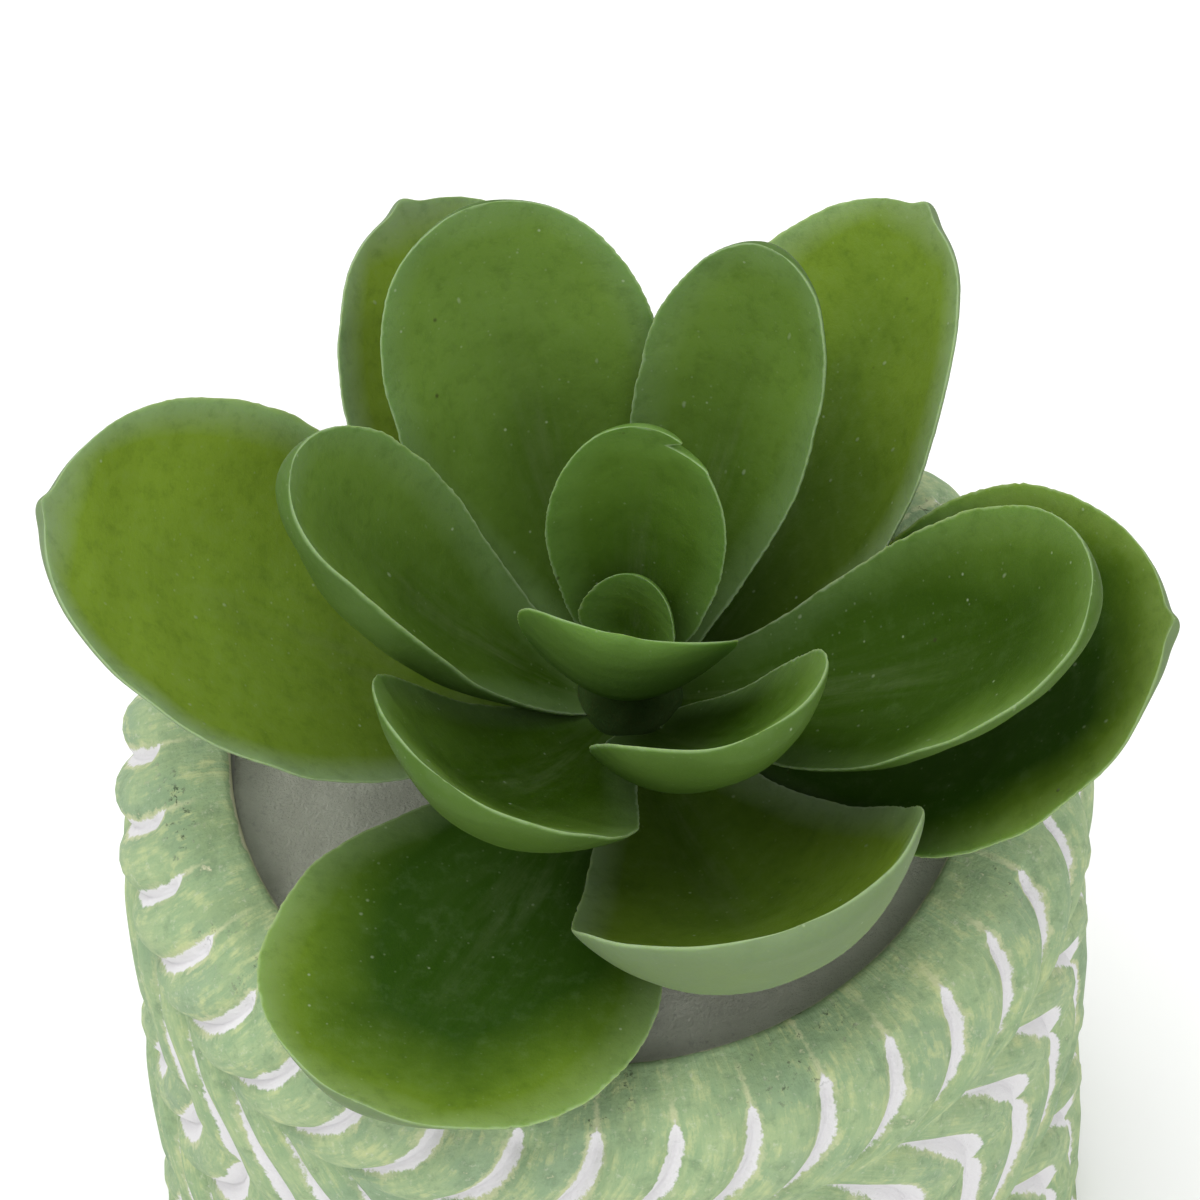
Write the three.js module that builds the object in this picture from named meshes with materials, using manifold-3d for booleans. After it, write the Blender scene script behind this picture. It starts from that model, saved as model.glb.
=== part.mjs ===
// Potted succulent: a rosette of thick, spoon-shaped leaves on a short stem, set in the filling of a
// round pot with a herringbone relief. Millimetres and degrees, +Z up, origin at the centre of the
// pot's base.
import * as THREE from "three";
import { mergeVertices } from "three/addons/utils/BufferGeometryUtils.js";
import Module from "manifold-3d";

const wasm = await Module();
wasm.setup();

const GAP = 0.3; // clearance between two pieces that touch
const SKIN = GAP * 1.5; // skin on the pot that leaves are cut clear of, over its flat facets

// Pot
const POT_HEIGHT = 83;
const POT_RADIUS = 40; // to the crests of the relief
const MOUTH_RADIUS = 30;
const LIP_ROUNDING = 1; // inner edge of the mouth
const LIP_LAND = 0.5; // flat ring on top, between the two roundings
const POT_FLOOR = 8;
const FOOT_HEIGHT = 2; // plain band under the relief
const FOOT_INSET = 2; // how far the foot draws in at the base

// Herringbone relief: rows of curved strokes, every second row mirrored
const RELIEF_DEPTH = 1.3;
const RELIEF_ROWS = 6;
const RELIEF_START = 30; // where it begins on the shoulder, from straight up
const RELIEF_FADE = 3; // length over which the topmost grooves run out
const STROKES = 36; // round the pot
const STROKE_START = 4; // turn of the first stroke from the front of the pot
const STROKE_SLANT = 13; // how far a stroke travels round the pot across one row
const COLUMNS_PER_STROKE = 3;
const ROW_SAMPLES = [0, 0.15, 0.5, 0.85]; // levels modelled in each row

// Filling and stem
const FILLING_DEPTH = 6; // from the rim down to its top
const PLANT_OFFSET = 2.5; // the plant stands this far off the pot's axis, along +X
const STEM_SOCKET_DEPTH = 4; // how far the stem goes down into the filling
const STEM_FLARE = 0.6; // widening of the stem where it leaves the filling
const STEM_SIDES = 24;

// Rings of leaves. height: of the roots above the rim; stem: radius of the stem there (the heart
// stands on its top, this far off the axis); thickness: of a leaf in its middle; widest: where along
// the leaf it is broadest; neck: half the width at the root; tip: how blunt the end is.
const RINGS = {
  outer: { height: 1, stem: 3.7, thickness: 4, widest: 0.62, neck: 1.9, tip: 1.8 },
  middle: { height: 6.5, stem: 3.3, thickness: 3.6, widest: 0.62, neck: 1.7, tip: 2.2 },
  inner: { height: 11.5, stem: 1.9, thickness: 2.6, widest: 0.55, neck: 3.6, tip: 2.2 },
  heart: { height: 13.6, stem: 0.3, thickness: 1.5, widest: 0.5, neck: 1.5, tip: 2.2 },
};

// Leaves, chosen one by one. turn: heading round the stem; rise: slope at the root; curl: how much
// steeper the tip is; cup: half the angle its section bends through; roll: twist towards the tip.
const LEAVES = [
  { ring: "outer", turn: 171, rise: 15, curl: 35, length: 50, width: 32, cup: 38, roll: -4 },
  { ring: "outer", turn: 114, rise: 15, curl: 35, length: 43, width: 28, cup: 38, roll: 14 },
  { ring: "outer", turn: 52, rise: 15, curl: 35, length: 45, width: 28, cup: 38, roll: -20 },
  { ring: "outer", turn: -8, rise: 10, curl: 38, length: 45, width: 33, cup: 38, roll: 5 },
  { ring: "outer", turn: -70, rise: -5, curl: 80, length: 40, width: 32, cup: 45, roll: 0 },
  { ring: "outer", turn: -121, rise: -2, curl: 29, length: 42, width: 31, cup: 30, roll: 0 },
  { ring: "middle", turn: 111, rise: 35, curl: 30, length: 40, width: 24, cup: 42, roll: -10 },
  { ring: "middle", turn: 59, rise: 35, curl: 40, length: 38, width: 17, cup: 42, roll: 0 },
  { ring: "middle", turn: 175, rise: 38, curl: 35, length: 39, width: 19, cup: 50, roll: -5 },
  { ring: "middle", turn: -15, rise: 17, curl: 43, length: 44, width: 24, cup: 42, roll: 5 },
  { ring: "middle", turn: -126, rise: 22, curl: 46, length: 31, width: 25, cup: 42, roll: -7 },
  { ring: "middle", turn: -66, rise: 47, curl: 15, length: 34, width: 21, cup: 45, roll: 0 },
  { ring: "inner", turn: 76, rise: 60, curl: 20, length: 21, width: 16, cup: 45, roll: 0 },
  { ring: "inner", turn: -92, rise: 62, curl: 12, length: 19, width: 18, cup: 42, roll: -14 },
  { ring: "heart", turn: 75, rise: 66, curl: 15, length: 6.5, width: 8, cup: 45, roll: 0 },
];
const LEAF_SIDES = 12;
const LEAF_STEPS = 12;
const EDGE_SHARE = 0.18; // thickness left at a leaf's edge, as a share of its middle
const NECK_POWER = 1.4; // higher keeps the leaf narrow for longer past its root
const BODY_START = 0.1; // where on a half wave the thickness starts at the root
const BODY_SPAN = 0.85; // and how much of the wave it covers

const POT_COLOUR = 0x8ca57d;
const FILLING_COLOUR = 0xb9b8b0;
const STEM_COLOUR = 0x4f6e2a;
const LEAF_COLOURS = { outer: 0x4b691e, middle: 0x375a1e, inner: 0x3f6a2c, heart: 0x3a6428 };
const POT_ROUGHNESS = 0.8;
const FILLING_ROUGHNESS = 0.95;
const STEM_ROUGHNESS = 0.6;
const LEAF_ROUGHNESS = 0.45;

const MERGE_DISTANCE = 1e-3; // vertices closer than this are one

const radians = THREE.MathUtils.degToRad;
const SHOULDER_RADIUS = POT_RADIUS - MOUTH_RADIUS - LIP_ROUNDING - LIP_LAND;
const SHOULDER_ARC = SHOULDER_RADIUS * radians(90 - RELIEF_START);
const RELIEF_LENGTH = SHOULDER_ARC + POT_HEIGHT - SHOULDER_RADIUS - FOOT_HEIGHT;
const ROW_PITCH = RELIEF_LENGTH / RELIEF_ROWS;

// The point on the shoulder at an angle from straight up, as radius and height.
function shoulderPoint(angle) {
  return new THREE.Vector2(
    POT_RADIUS - SHOULDER_RADIUS + SHOULDER_RADIUS * Math.sin(angle),
    POT_HEIGHT - SHOULDER_RADIUS + SHOULDER_RADIUS * Math.cos(angle),
  );
}

// The smooth outside of the pot, a distance down from where the relief starts.
function wallPoint(down) {
  const angle = radians(RELIEF_START) + Math.min(down, SHOULDER_ARC) / SHOULDER_RADIUS;
  const point = shoulderPoint(angle);
  point.y -= Math.max(0, down - SHOULDER_ARC);
  return { point, normal: new THREE.Vector2(Math.sin(angle), Math.cos(angle)) };
}

// How far along its stroke a level is: 0 on the spine that two rows share, 1 on their far edges.
function strokeShare(down) {
  const rows = down / ROW_PITCH;
  const spine = 2 * Math.floor(rows / 2) + 1;
  return Math.min(1, Math.abs(rows - spine));
}

// Depth of the relief at a level, for a column on a groove (0) or between two (up to 1).
function reliefDepth(down, crest) {
  const share = strokeShare(down);
  const topRow = down < ROW_PITCH;
  const rowCrest = topRow && share > 0.5 ? 1 : Math.sqrt(Math.sin(Math.PI * share));
  const fade = Math.min(1, down / RELIEF_FADE);
  return RELIEF_DEPTH * fade * (1 - rowCrest * crest);
}

// The pot's profile from the middle of its base, up the outside, over the rim and down inside.
function potProfile() {
  const profile = [
    { point: new THREE.Vector2(0, 0) },
    { point: new THREE.Vector2(POT_RADIUS - RELIEF_DEPTH - FOOT_INSET, 0) },
    { point: new THREE.Vector2(POT_RADIUS - RELIEF_DEPTH, FOOT_HEIGHT / 2) },
  ];
  for (let row = RELIEF_ROWS; row > 0; row--) {
    for (const sample of ROW_SAMPLES) {
      const down = (row - sample) * ROW_PITCH;
      profile.push({ ...wallPoint(down), down });
    }
  }
  for (const share of [1, 0.5, 0]) {
    profile.push({ point: shoulderPoint(share * radians(RELIEF_START)) });
  }
  for (const turn of [0, 45, 90]) {
    profile.push({
      point: new THREE.Vector2(
        MOUTH_RADIUS + LIP_ROUNDING * (1 - Math.sin(radians(turn))),
        POT_HEIGHT - LIP_ROUNDING * (1 - Math.cos(radians(turn))),
      ),
    });
  }
  profile.push({ point: new THREE.Vector2(MOUTH_RADIUS, POT_FLOOR) });
  profile.push({ point: new THREE.Vector2(0, POT_FLOOR) });
  return profile;
}

function potGeometry() {
  const profile = potProfile();
  const points = profile.map((level) => level.point);
  const columns = STROKES * COLUMNS_PER_STROKE;
  const geometry = new THREE.LatheGeometry(points, columns).rotateX(Math.PI / 2);
  const position = geometry.getAttribute("position");
  for (let column = 0; column <= columns; column++) {
    const crest = Math.sin((Math.PI * (column % COLUMNS_PER_STROKE)) / COLUMNS_PER_STROKE);
    profile.forEach(({ point, normal, down }, level) => {
      if (down === undefined) return;
      const depth = reliefDepth(down, crest);
      const radius = point.x - depth * normal.x;
      const share = strokeShare(down);
      const slant = STROKE_SLANT * (1 - (1 - share) ** 2);
      const turn = (column * 2 * Math.PI) / columns + radians(slant);
      position.setXYZ(
        column * profile.length + level,
        radius * Math.sin(turn),
        -radius * Math.cos(turn),
        point.y - depth * normal.y,
      );
    });
  }
  return geometry.rotateZ(radians(STROKE_START));
}

// Half the width of a leaf at a share of its length.
function halfWidth(leaf, ring, along) {
  const full = leaf.width / 2;
  if (along < ring.widest) {
    const spread = Math.sin((Math.PI / 2) * (along / ring.widest)) ** NECK_POWER;
    return ring.neck + (full - ring.neck) * spread;
  }
  const past = (along - ring.widest) / (1 - ring.widest);
  return full * Math.sqrt(Math.max(0, 1 - past ** ring.tip));
}

// A point of a leaf, from its place along (0 root, 1 tip), across (-1 to 1) and through the blade
// (-1 underside, 1 upper side). grow adds an even skin, to cut clearance round the leaf.
function leafPoint(leaf, ring, along, across, through, grow) {
  const rise = radians(leaf.rise);
  const curl = radians(leaf.curl);
  const slope = rise + curl * (along + (grow / leaf.length) * (2 * along - 1));
  const bend = leaf.length / curl;
  const reach = ring.stem + GAP + bend * (Math.sin(slope) - Math.sin(rise));
  const height = bend * (Math.cos(rise) - Math.cos(slope));

  const cupRadius = leaf.width / 2 / radians(leaf.cup);
  const cupAngle = (across * (halfWidth(leaf, ring, along) + grow)) / cupRadius;
  const body = Math.sqrt(Math.sin(Math.PI * (BODY_START + BODY_SPAN * along)));
  const swell = EDGE_SHARE + (1 - EDGE_SHARE) * (1 - across * across) * body;
  const depth = ring.thickness * swell * Math.max(0, -through) - grow * through;
  const arc = cupRadius + depth;
  const side = arc * Math.sin(cupAngle);
  const lift = cupRadius - arc * Math.cos(cupAngle);

  const roll = radians(leaf.roll) * along;
  const sideways = side * Math.cos(roll) - lift * Math.sin(roll);
  const up = side * Math.sin(roll) + lift * Math.cos(roll);
  const out = reach - up * Math.sin(slope);
  const turn = radians(leaf.turn);
  return new THREE.Vector3(
    PLANT_OFFSET + out * Math.cos(turn) - sideways * Math.sin(turn),
    out * Math.sin(turn) + sideways * Math.cos(turn),
    POT_HEIGHT + ring.height + height + up * Math.cos(slope),
  );
}

// A ball whose poles become the leaf's root and tip, and whose girth becomes its section.
function leafGeometry(leaf, grow = 0) {
  const ring = RINGS[leaf.ring];
  const geometry = new THREE.SphereGeometry(1, LEAF_SIDES, LEAF_STEPS);
  const position = geometry.getAttribute("position");
  for (let i = 0; i < position.count; i++) {
    const ball = new THREE.Vector3().fromBufferAttribute(position, i);
    const girth = Math.hypot(ball.x, ball.z);
    const pole = girth < MERGE_DISTANCE;
    const across = pole ? 0 : ball.x / girth;
    const through = pole ? 0 : ball.z / girth;
    const point = leafPoint(leaf, ring, (1 - ball.y) / 2, across, through, grow);
    position.setXYZ(i, point.x, point.y, point.z);
  }
  return geometry;
}

function solidFrom(geometry) {
  const bare = geometry.clone();
  bare.deleteAttribute("normal");
  bare.deleteAttribute("uv");
  const merged = mergeVertices(bare, MERGE_DISTANCE);
  return new wasm.Manifold(
    new wasm.Mesh({
      numProp: 3,
      vertProperties: new Float32Array(merged.getAttribute("position").array),
      triVerts: new Uint32Array(merged.index.array),
    }),
  );
}

function geometryFrom(solid) {
  const { vertProperties, triVerts } = solid.getMesh();
  const geometry = new THREE.BufferGeometry();
  geometry.setAttribute("position", new THREE.BufferAttribute(vertProperties, 3));
  geometry.setIndex(new THREE.BufferAttribute(triVerts, 1));
  geometry.computeVertexNormals();
  return geometry;
}

// The biggest single body of a solid.
function mainBody(solid) {
  const bodies = solid.decompose();
  return bodies.reduce((best, body) => (body.volume() > best.volume() ? body : best));
}

// A turned piece from its profile of [radius, height] pairs, its axis moved by offset along +X.
function turned(profile, sides, offset = 0) {
  const points = profile.map(([radius, height]) => new THREE.Vector2(radius, height));
  return new THREE.LatheGeometry(points, sides).rotateX(Math.PI / 2).translate(offset, 0, 0);
}

const FILLING_TOP = POT_HEIGHT - FILLING_DEPTH;
const SOCKET_BOTTOM = FILLING_TOP - STEM_SOCKET_DEPTH;
const STEM_FOOT_RADIUS = RINGS.outer.stem + STEM_FLARE;

function fillingGeometry() {
  const radius = MOUTH_RADIUS - GAP;
  const bottom = POT_FLOOR + GAP;
  const plug = solidFrom(
    turned(
      [
        [0, bottom],
        [radius, bottom],
        [radius, FILLING_TOP],
        [0, FILLING_TOP],
      ],
      STROKES * 2,
    ),
  );
  const socket = solidFrom(
    turned(
      [
        [0, SOCKET_BOTTOM],
        [STEM_FOOT_RADIUS + GAP, SOCKET_BOTTOM],
        [STEM_FOOT_RADIUS + GAP, POT_HEIGHT],
        [0, POT_HEIGHT],
      ],
      STEM_SIDES,
      PLANT_OFFSET,
    ),
  );
  return geometryFrom(plug.subtract(socket));
}

function stemGeometry() {
  const top = POT_HEIGHT + RINGS.heart.height - GAP;
  return turned(
    [
      [0, SOCKET_BOTTOM + GAP],
      [STEM_FOOT_RADIUS, SOCKET_BOTTOM + GAP],
      [STEM_FOOT_RADIUS, FILLING_TOP],
      [RINGS.outer.stem, POT_HEIGHT + RINGS.outer.height - RINGS.outer.thickness],
      [RINGS.outer.stem, POT_HEIGHT + RINGS.outer.height],
      [RINGS.middle.stem, POT_HEIGHT + RINGS.middle.height - RINGS.middle.thickness / 2],
      [RINGS.middle.stem, POT_HEIGHT + RINGS.middle.height],
      [RINGS.inner.stem, POT_HEIGHT + RINGS.inner.height - RINGS.inner.thickness],
      [RINGS.inner.stem, top],
      [0, top],
    ],
    STEM_SIDES,
    PLANT_OFFSET,
  );
}

function piece(name, geometry, color, roughness) {
  const material = new THREE.MeshStandardMaterial({ color, roughness, metalness: 0 });
  const mesh = new THREE.Mesh(geometry, material);
  mesh.name = name;
  return mesh;
}

// The pot and its filling with an even skin, for a leaf that lies low over the rim to rest on.
function potClearance() {
  const shoulder = [90, 60, 30, 0].map((angle) => {
    const outward = new THREE.Vector2(Math.sin(radians(angle)), Math.cos(radians(angle)));
    return shoulderPoint(radians(angle)).addScaledVector(outward, SKIN).toArray();
  });
  return turned(
    [
      [0, POT_FLOOR],
      [POT_RADIUS + SKIN, POT_FLOOR],
      ...shoulder,
      [MOUTH_RADIUS - SKIN, POT_HEIGHT + SKIN],
      [MOUTH_RADIUS - SKIN, FILLING_TOP + SKIN],
      [0, FILLING_TOP + SKIN],
    ],
    STROKES * COLUMNS_PER_STROKE,
  );
}

// Leaves are laid from the outside in. Each one is cut clear of what it would touch.
function leafPieces(stem) {
  const counts = {};
  const laid = [];
  const standing = [solidFrom(stem), solidFrom(potClearance())];
  for (const leaf of LEAVES) {
    counts[leaf.ring] = (counts[leaf.ring] ?? 0) + 1;
    const blade = solidFrom(leafGeometry(leaf));
    const clear = standing.reduce((rest, other) => {
      const touching = rest.intersect(other).volume() > 0;
      return touching ? rest.subtract(other) : rest;
    }, blade);
    standing.push(solidFrom(leafGeometry(leaf, GAP)));
    const name = `leaf_${leaf.ring}_${counts[leaf.ring]}`;
    const geometry = geometryFrom(mainBody(clear));
    laid.push(piece(name, geometry, LEAF_COLOURS[leaf.ring], LEAF_ROUGHNESS));
  }
  return laid;
}

const stem = stemGeometry();
const pottedSucculent = new THREE.Group();
pottedSucculent.add(
  piece("pot", potGeometry(), POT_COLOUR, POT_ROUGHNESS),
  piece("filling", fillingGeometry(), FILLING_COLOUR, FILLING_ROUGHNESS),
  piece("stem", stem, STEM_COLOUR, STEM_ROUGHNESS),
  ...leafPieces(stem),
);

export default pottedSucculent;
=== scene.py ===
# %% [markdown]
# # A potted succulent
# The object is a small rosette of thick leaves in a round, hand-painted pot. Its structure is fixed
# already: every leaf, the stem, the filling and the pot have their place and size. This lesson gives
# each of them the surface of the real thing. The leaves and the pot follow a rule, so Geometry Nodes
# grow them. The finishes are built from procedural textures.

# %% Load the fixed frame
import math

import bpy
from mathutils import Matrix, Vector, noise


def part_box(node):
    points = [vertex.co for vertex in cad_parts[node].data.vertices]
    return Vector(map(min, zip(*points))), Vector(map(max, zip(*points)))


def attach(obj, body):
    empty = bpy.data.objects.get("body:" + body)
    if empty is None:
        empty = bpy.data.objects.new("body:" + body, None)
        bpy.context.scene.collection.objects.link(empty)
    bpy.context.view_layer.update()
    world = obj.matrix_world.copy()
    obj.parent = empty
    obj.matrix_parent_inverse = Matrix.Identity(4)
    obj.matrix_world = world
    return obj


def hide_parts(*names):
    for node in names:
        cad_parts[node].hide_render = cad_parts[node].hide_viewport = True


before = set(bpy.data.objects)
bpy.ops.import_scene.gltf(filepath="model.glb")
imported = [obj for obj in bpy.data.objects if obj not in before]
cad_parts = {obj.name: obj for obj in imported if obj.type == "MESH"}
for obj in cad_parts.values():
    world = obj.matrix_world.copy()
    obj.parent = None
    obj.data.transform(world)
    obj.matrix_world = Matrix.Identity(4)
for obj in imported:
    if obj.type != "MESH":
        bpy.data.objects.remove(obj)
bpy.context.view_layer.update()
MM = 0.001
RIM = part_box("pot")[1][2]
print("pot rim at", round(RIM / MM, 1), "mm")

# %% [markdown]
# ## The camera
# The plant is looked down on from a little above half way up, through a long lens, which keeps the
# near and far side of the pot almost the same size. The camera is turned by a few degrees, as a
# hand-held one is.

# %% Camera
CAMERA_ELEVATION = math.radians(58)
CAMERA_ROLL = math.radians(-2.9)
CAMERA_DISTANCE = 0.7
CAMERA_LENS = 266
AIM = Vector((0.5 * MM, 0, RIM + 20.6 * MM))

back = Vector((0, -math.cos(CAMERA_ELEVATION), math.sin(CAMERA_ELEVATION)))
level_right = Vector((1, 0, 0))
level_up = back.cross(level_right)
right = level_right * math.cos(CAMERA_ROLL) + level_up * math.sin(CAMERA_ROLL)
up = back.cross(right)
camera = bpy.data.objects.new("camera", bpy.data.cameras.new("camera"))
camera.data.lens = CAMERA_LENS
camera.data.clip_end = 20
camera.matrix_world = Matrix.Translation(AIM + CAMERA_DISTANCE * back) @ Matrix(
    (right, up, back)
).transposed().to_4x4()
bpy.context.scene.collection.objects.link(camera)
bpy.context.scene.camera = camera
print("camera", round(CAMERA_DISTANCE, 2), "m away")

# %% [markdown]
# ## Writing node trees as sums
# A tree of nodes can be drawn by hand, but a formula is easier to read. `Field` stands for a value
# that changes over the surface: adding or multiplying two of them places a Math node. It works in
# geometry trees and in shader trees alike.

# %% Fields
class Field:
    def __init__(self, tree, socket):
        self.tree = tree
        self.socket = socket

    def math(self, operation, *others):
        node = self.tree.nodes.new("ShaderNodeMath")
        node.operation = operation
        for socket, value in zip(node.inputs, (self, *others)):
            plug(self.tree, value, socket)
        return Field(self.tree, node.outputs[0])

    def __add__(self, other):
        return self.math("ADD", other)

    def __sub__(self, other):
        return self.math("SUBTRACT", other)

    def __mul__(self, other):
        return self.math("MULTIPLY", other)

    def __truediv__(self, other):
        return self.math("DIVIDE", other)

    def __pow__(self, other):
        return self.math("POWER", other)

    def __rsub__(self, other):
        return (self * -1) + other

    __radd__ = __add__
    __rmul__ = __mul__

    def sin(self):
        return self.math("SINE")

    def cos(self):
        return self.math("COSINE")

    def least(self, other):
        return self.math("MINIMUM", other)

    def most(self, other):
        return self.math("MAXIMUM", other)

    def bell(self, width):
        """1 where the value is 0, falling off over a width on both sides."""
        return ((self / width) ** 2 * -1).math("EXPONENT")

    def ramp(self, start, end):
        """0 up to start, 1 from end on, and straight in between."""
        node = self.tree.nodes.new("ShaderNodeMapRange")
        for name, value in (("Value", self), ("From Min", start), ("From Max", end)):
            plug(self.tree, value, node.inputs[name])
        return Field(self.tree, node.outputs["Result"])


def plug(tree, value, socket):
    """Links a field, or sets a plain value, on a node's input."""
    if isinstance(value, Field):
        tree.links.new(value.socket, socket)
    else:
        socket.default_value = value


def node(tree, kind, inputs=(), **settings):
    """Places a node, with its settings and its inputs by name or number."""
    placed = tree.nodes.new(kind)
    for name, value in settings.items():
        setattr(placed, name, value)
    for name, value in dict(inputs).items():
        plug(tree, value, placed.inputs[name])
    return placed


def field(tree, kind, inputs=(), output=0, **settings):
    return Field(tree, node(tree, kind, inputs, **settings).outputs[output])


def vector(tree, x, y, z):
    return field(tree, "ShaderNodeCombineXYZ", {0: x, 1: y, 2: z})


def split(tree, value):
    parts = node(tree, "ShaderNodeSeparateXYZ", {0: value})
    return [Field(tree, output) for output in parts.outputs]


def clouds(tree, place, scale, detail=2.0, roughness=0.5):
    """Soft noise between 0 and 1 at a place."""
    inputs = {"Vector": place, "Scale": scale, "Detail": detail, "Roughness": roughness}
    return field(tree, "ShaderNodeTexNoise", inputs)


print("Field ready, with helpers for nodes, vectors and clouds")

# %% [markdown]
# ## Growing a mesh from a tree
# Every geometry tree here starts from a ball, because a ball is one closed skin. Its points are then
# moved to where the formula says. The result is kept as a plain mesh, so no live modifier is left.

# %% Geometry trees
class Shape:
    def __init__(self, name, sizes):
        self.tree = bpy.data.node_groups.new(name, "GeometryNodeTree")
        face = self.tree.interface
        face.new_socket(name="Geometry", in_out="INPUT", socket_type="NodeSocketGeometry")
        face.new_socket(name="Geometry", in_out="OUTPUT", socket_type="NodeSocketGeometry")
        face.new_socket(name="Material", in_out="INPUT", socket_type="NodeSocketMaterial")
        for size in sizes:
            face.new_socket(name=size, in_out="INPUT", socket_type="NodeSocketFloat")
        self.entry = self.tree.nodes.new("NodeGroupInput")

    def size(self, name):
        return Field(self.tree, self.entry.outputs[name])

    def ball(self, segments, rings):
        """A ball of radius 1, and the place on it as three fields."""
        ball = node(
            self.tree, "GeometryNodeMeshUVSphere", {"Segments": segments, "Rings": rings}
        )
        place = field(self.tree, "GeometryNodeInputPosition")
        return ball.outputs["Mesh"], split(self.tree, place)

    def finish(self, mesh, place, marks):
        """Stores the marks on the ball, moves its points to their place and ends the tree."""
        tree = self.tree
        for name, value in marks.items():
            store = node(
                tree, "GeometryNodeStoreNamedAttribute", {"Name": name}, data_type="FLOAT"
            )
            tree.links.new(mesh, store.inputs["Geometry"])
            plug(tree, value, store.inputs["Value"])
            mesh = store.outputs["Geometry"]
        for kind, inputs in (
            ("GeometryNodeSetPosition", {"Position": place}),
            ("GeometryNodeSetShadeSmooth", {}),
            ("GeometryNodeRealizeInstances", {}),
            ("GeometryNodeSetMaterial", {"Material": self.size("Material")}),
        ):
            step = node(tree, kind, inputs)
            tree.links.new(mesh, step.inputs["Geometry"])
            mesh = step.outputs["Geometry"]
        leave = tree.nodes.new("NodeGroupOutput")
        tree.links.new(mesh, leave.inputs["Geometry"])

    def grow(self, name, material, sizes):
        """Runs the tree with these sizes and keeps what it makes as a plain mesh."""
        piece = bpy.data.objects.new(name, bpy.data.meshes.new(name))
        bpy.context.scene.collection.objects.link(piece)
        modifier = piece.modifiers.new("shape", "NODES")
        modifier.node_group = self.tree
        for item in self.tree.interface.items_tree:
            if item.in_out == "INPUT" and item.name in sizes:
                modifier[item.identifier] = float(sizes[item.name])
            if item.in_out == "INPUT" and item.name == "Material":
                modifier[item.identifier] = material
        graph = bpy.context.evaluated_depsgraph_get()
        made = bpy.data.meshes.new_from_object(piece.evaluated_get(graph))
        piece.modifiers.remove(modifier)
        piece.data = made
        made.name = name
        return piece


def settle(piece, slot, *nodes):
    """Hands a finished piece to the frame, in place of the nodes that it stands for."""
    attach(piece, "root")
    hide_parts(*nodes)
    print(piece.name, len(piece.data.polygons), "faces")


print("Shape ready, for trees that end as plain meshes")

# %% [markdown]
# ## Finishes: shared effects
# Fine grain turns up in every finish of the object, and specks of several kinds in the three leaf
# finishes. They could be written out each time, but a small group with named inputs is built once and
# placed with other values. A group gives a mask or a height; the shader itself stays in the material.

# %% Shader groups
def shader_group(name, inputs, build):
    group = bpy.data.node_groups.new(name, "ShaderNodeTree")
    face = group.interface
    for label, kind, value in inputs:
        socket = face.new_socket(name=label, in_out="INPUT", socket_type=kind)
        if value is not None:
            socket.default_value = value
    face.new_socket(name="Result", in_out="OUTPUT", socket_type="NodeSocketFloat")
    entry = group.nodes.new("NodeGroupInput")
    leave = group.nodes.new("NodeGroupOutput")
    result = build(group, *[Field(group, entry.outputs[label]) for label, _, _ in inputs])
    group.links.new(result.socket, leave.inputs["Result"])
    return group


def build_specks(group, place, scale, size, amount):
    """1 in a speck, in as many of the cells as the amount says."""
    cells = node(group, "ShaderNodeTexVoronoi", {"Vector": place, "Scale": scale})
    distance = Field(group, cells.outputs["Distance"])
    lot = split(group, Field(group, cells.outputs["Color"]))[0]
    chosen = lot.math("LESS_THAN", amount)
    return distance.ramp(size, size * 0.4) * chosen


def build_grain(group, place, fine, coarse):
    """A height, from noise at two scales."""
    small = clouds(group, place, 2600, 4.0, 0.65)
    wide = clouds(group, place, 240, 3.0)
    return small * fine + wide * coarse


PLACE = ("Place", "NodeSocketVector", None)
SPECKS = shader_group(
    "specks",
    [
        PLACE,
        ("Scale", "NodeSocketFloat", 400.0),
        ("Size", "NodeSocketFloat", 0.15),
        ("Amount", "NodeSocketFloat", 0.1),
    ],
    build_specks,
)
GRAIN = shader_group(
    "fine grain",
    [PLACE, ("Fine", "NodeSocketFloat", 0.5), ("Coarse", "NodeSocketFloat", 0.5)],
    build_grain,
)


def from_group(tree, group, place, **inputs):
    """Places a group in a material, with that material's own values."""
    placed = tree.nodes.new("ShaderNodeGroup")
    placed.node_tree = group
    plug(tree, place, placed.inputs["Place"])
    for name, value in inputs.items():
        plug(tree, value, placed.inputs[name])
    return Field(tree, placed.outputs["Result"])


print("shader groups:", SPECKS.name, "and", GRAIN.name)

# %% [markdown]
# ## Finishes: one material each
# Wax, paint and cement differ in colour, gloss and grain, but all three start from the same shader.
# `Finish` wraps one material: it gives the place on the piece, reads the marks that the mesh carries
# and lays one colour over another. What changes over the surface is linked to the shader. What is the
# same all over is set on the shader itself, as a plain number.

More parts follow.
